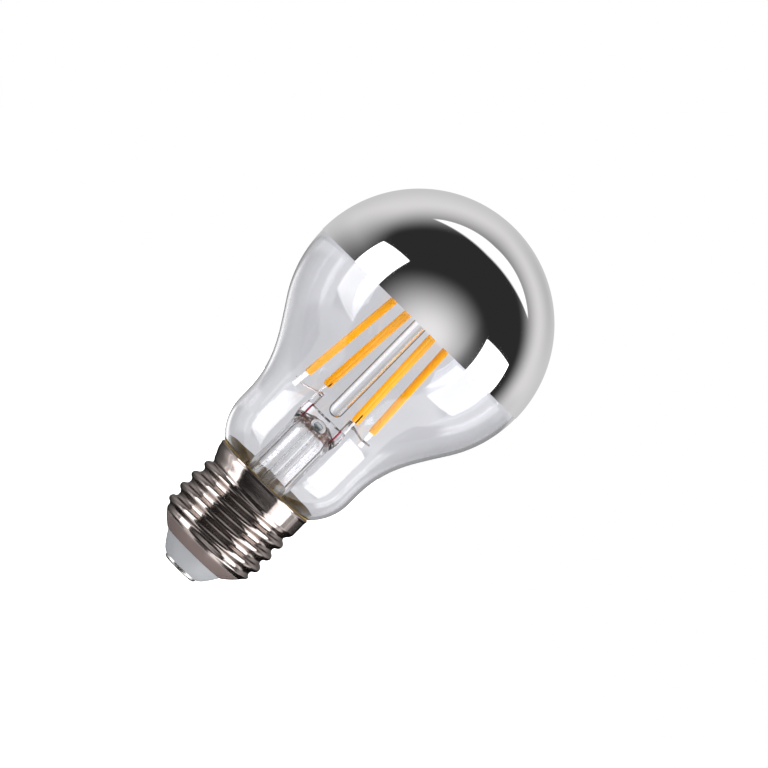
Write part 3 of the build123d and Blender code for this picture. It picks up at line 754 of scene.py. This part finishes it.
# Floor: a wide sheet of pale paper well below the lamp, which is held up by its cap. It shows to the
# camera alone, so that the glass and the cap mirror the studio and not the paper.
floor_drop, floor_half = 0.08, 4.0
floor_mesh = bpy.data.meshes.new("floor")
floor_mesh.from_pydata([(x * floor_half, y * floor_half, -floor_drop)
                        for x, y in ((-1, -1), (1, -1), (1, 1), (-1, 1))], [], [(0, 1, 2, 3)])
floor = bpy.data.objects.new("floor", floor_mesh)
bpy.context.scene.collection.objects.link(floor)
floor_finish = finish_named("pale paper", {"Roughness": 0.9, "Specular IOR Level": 0.0})
mottle(floor_finish, "Base Color", (0.96, 0.96, 0.96), (0.94, 0.94, 0.94), grain_of(floor_finish, 60))
floor_mesh.materials.append(floor_finish)
floor.visible_glossy = False
floor.visible_transmission = False
floor.visible_diffuse = False


# Studio light: a dark room in front of the lamp with a tall soft box on either side, a soft glow round the
# camera, a strip overhead and a light grey sheet behind. All of it is in the world's background.
world = bpy.data.worlds.new("studio")
bpy.context.scene.world = world
world.use_nodes = True
world.cycles.sampling_method = "NONE"
sky = world.node_tree
sky.nodes.clear()


class Reading:
    """A value that changes with the direction, which can be added to, taken from and multiplied."""

    def __init__(self, socket):
        self.socket = socket

    def join(self, operation, other, swap=False):
        pair = [self.socket, other.socket if isinstance(other, Reading) else other]
        return Reading(put(sky, "Math", dict(enumerate(pair[::-1] if swap else pair)),
                           operation=operation).outputs[0])

    def alone(self, operation):
        return Reading(put(sky, "Math", {0: self.socket}, operation=operation).outputs[0])

    def __add__(self, other):
        return self.join("ADD", other)

    def __sub__(self, other):
        return self.join("SUBTRACT", other)

    def __rsub__(self, other):
        return self.join("SUBTRACT", other, swap=True)

    def __mul__(self, other):
        return self.join("MULTIPLY", other)

    def __truediv__(self, other):
        return self.join("DIVIDE", other)

    __radd__, __rmul__ = __add__, __mul__


def rising(value, low, high):
    """Smooth step from 0 at low to 1 at high."""
    return Reading(ramped(sky, value.socket, low, high))


def between(value, low, high, blur):
    """1 between two limits, with soft edges."""
    return rising(value, low - blur, low + blur) * (1 - rising(value, high - blur, high + blur))


direction = put(sky, "SeparateXYZ", {"Vector": put(sky, "TexCoord").outputs["Generated"]}).outputs
right, away, up = (Reading(direction[axis]) for axis in "XYZ")
bearing = right.join("ARCTAN2", 0 - away) * (180 / pi)
elevation = up.alone("ARCSINE") * (180 / pi)
box_edge = 0.02


def soft_box(facing, near, far, foot, foot_slant, top, top_slant):
    """Upright panel whose plane faces a bearing; its sides and ends are shares of its distance."""
    turn = radians(facing)
    ahead = (right * sin(turn) - away * cos(turn)).join("MAXIMUM", 0.02)
    outward = (right * cos(turn) + away * sin(turn)) * (1 if facing > 0 else -1)
    across, level = outward / ahead, up / ahead
    foot_line, top_line = level - across * foot_slant, level + across * top_slant
    inside = between(across, near, far, box_edge) * rising(ahead, 0.03, 0.05)
    above_foot = rising(foot_line, foot - box_edge, foot + box_edge)
    return inside * above_foot * (1 - rising(top_line, top - box_edge, top + box_edge))


box_light, strip_light, room_light, backdrop_grey, fill_light = 4.5, 1.05, 0.025, 0.70, 2.05
left_box = soft_box(-40, 0.165, 0.88, -0.772, 0.298, 0.58, 0.05)
right_box = soft_box(45, 0.22, 1.07, -0.71, 0.0, 0.53, 0.0)

# The glow round the camera, a little to the right of it and cut short on the far right.
glow_light, glow_bearing, glow_left, glow_right, glow_height = 0.81, 11, 37, 34, 30
glow_width = glow_left - (glow_left - glow_right) * rising(bearing, 0, 22)
offset, tall = (bearing - glow_bearing) / glow_width, elevation / glow_height
from_glow = (offset * offset + tall * tall).alone("SQRT")
glow = glow_light * (1 - rising(from_glow, 0.1, 1.75)) * rising(elevation, -2.2, -0.8)
glow = glow * (1 - 0.5 * rising(bearing, 38, 52))

# The strip overhead, whose front edge bends back towards its ends.
overhead = up.join("MAXIMUM", 0.05)
sideways, backward = right / overhead, away / overhead
rightward, leftward = right.join("MAXIMUM", 0.0), (0 - right).join("MAXIMUM", 0.0)
front_edge = 0.05 * sideways.alone("ABSOLUTE") + 0.4 * sideways * sideways
back_edge = backward - 0.14 * rightward / overhead
strip = rising(backward - front_edge, -0.02, 0.03) * (1 - rising(back_edge, 0.235, 0.28))
strip = strip * rising(up, 0.2, 0.3)

# The sheet behind, which grows lighter from the sides to the back, more slowly low on the left.
low_down, near_level = 1 - rising(elevation, 2, 35), 1 - rising(elevation, 0, 12)
sheet_start = 0.01 - 0.36 * low_down * leftward - 0.05 * rightward
sheet_end = 0.69 + (0.46 * low_down + 0.42 * near_level - 0.10) * leftward - 0.32 * rightward
sheet_share = (away - 0.13 * right - sheet_start) / (sheet_end - sheet_start)
sheet_shade = rising(right, -0.12, 0.3) * rising(up, 0.15, 0.5) * rising(away, 0.55, 0.85)
sheet_light = 0.69 - 0.12 * rising(away, 0.55, 0.98) - 0.12 * sheet_shade
sheet_light = sheet_light * (1 - 0.14 * between(bearing, 100, 135, 10) * near_level)
sheet = rising(sheet_share, 0, 1) * sheet_light

# Low lights, below the horizon, which the cap and the lower glass mirror.
leftwards = 0 - bearing
below, level_low = 1 - rising(elevation, -2.4, -1.2), rising(elevation, -36, -28)
near_rim = 1 - rising(elevation, -4.5, -3)
low_right = 3.2 * between(bearing, 48, 58, 1.5) + 1.05 * between(bearing, 92, 120, 3)
low_right = (low_right + 0.9 * between(bearing, 106.5, 111, 0.9) * near_rim) * level_low
low_left = rising(leftwards, 78, 82) * (1.15 - 0.9 * rising(leftwards, 82, 130))
low_left = low_left + 0.75 * between(leftwards, 92.5, 98, 1.0) * near_rim
low_left = low_left * (1 - rising(leftwards, 145, 175)) * level_low
under = 1.25 * between(leftwards, 50, 95, 3) + 2.3 * between(bearing, 52, 100, 3)
under = under * rising(elevation, -82, -74) * (1 - level_low)
front_low = 0.07 * between(bearing, -60, 60, 10) * rising(elevation, -8, -4)
table = 0.12 * (1 - rising(elevation, -70, -50))
low_rims = 0.9 * between(leftwards, 102, 145, 8) + 0.5 * between(bearing, 118, 136, 4)
low_rims = low_rims * rising(elevation, -8, -4)
low_rims = low_rims + 0.75 * between(leftwards, 148, 174, 6) * (1 - rising(elevation, -9, -5))

# What a mirrored ray finds, by how many walls of glass it has passed.
path = put(sky, "LightPath").outputs
passes = Reading(path["Transmission Depth"])
through, far_wall, deep = (passes.join("GREATER_THAN", count) for count in (0.5, 2.5, 8.5))
off_centre = right.alone("ABSOLUTE")
grey_through = backdrop_grey * (1 - 0.35 * rising(off_centre, 0.05, 0.3)) * between(up, -0.7, 0.65, 0.15)
behind = sheet * rising(elevation, -2.5, -0.5) * (1 - through) + grey_through * through
low_lights = (low_left + low_right + low_rims * through) * (1 - far_wall)
low_lights = (low_lights + under * (1 - through) + front_low) * below
left_shade = 0.4 + 0.6 * rising(elevation, -38, -14)
right_shade = 1 - 0.6 * far_wall * rising(elevation, 2, 6)
boxes = box_light * (left_box * left_shade + right_box * right_shade) * (1 - 0.75 * deep)
studio = room_light + boxes + low_lights + glow + strip_light * strip + behind + table

# What is seen straight through the glass, what lights the dull pieces, and all of it put together.
bent = 0.06 * rising(right, -0.03, 0.03) - 0.035
bent = bent + 0.4 * between(right, 0.16, 0.55, 0.05) - 0.12 * between(right, -0.5, -0.12, 0.06)
fill = fill_light + 0.8 * right * right + 0.4 * right - 0.2 * away + 0.15 * up
fill = fill + (1.6 * right * right + 1.4 * right) * (1 - rising(up, -0.5, 0.0))
mirrored = Reading(path["Glossy Depth"]).join("GREATER_THAN", 0.5)
scattered = Reading(path["Diffuse Depth"]).join("GREATER_THAN", 0.5)
seen = Reading(path["Is Camera Ray"])
light = (backdrop_grey + bent) * (1 - seen) + seen
light = light * (1 - mirrored) + studio * mirrored
light = light * (1 - scattered) + fill * scattered
background = put(sky, "Background", {"Strength": light.socket, "Color": (1, 1, 1, 1)})
sky.links.new(background.outputs[0], put(sky, "OutputWorld").inputs["Surface"])


# Camera: level with the mirror's edge, a metre away, with a long lens. It is rolled so that the lamp lies
# at 45 degrees in the picture.
camera_place, camera_aim = Vector((0, -1.003, 0.0765)), Vector((0.00377, 0, 0.0611))
camera_roll, lens = 44.5, 212.3
camera = bpy.data.objects.new("camera", bpy.data.cameras.new("camera"))
bpy.context.scene.collection.objects.link(camera)
back = (camera_place - camera_aim).normalized()
side = Vector((-sin(radians(camera_roll)), 0, cos(radians(camera_roll)))).cross(back).normalized()
facing_lamp = Matrix((side, back.cross(side), back)).transposed().to_4x4()
camera.matrix_world = Matrix.Translation(camera_place) @ facing_lamp
camera.data.lens, camera.data.sensor_width = lens, 36.0
camera.data.clip_start, camera.data.clip_end = 0.05, 20.0
scene = bpy.context.scene
scene.camera = camera
scene.view_settings.view_transform = "Standard"
scene.cycles.max_bounces, scene.cycles.transmission_bounces, scene.cycles.glossy_bounces = 32, 32, 12
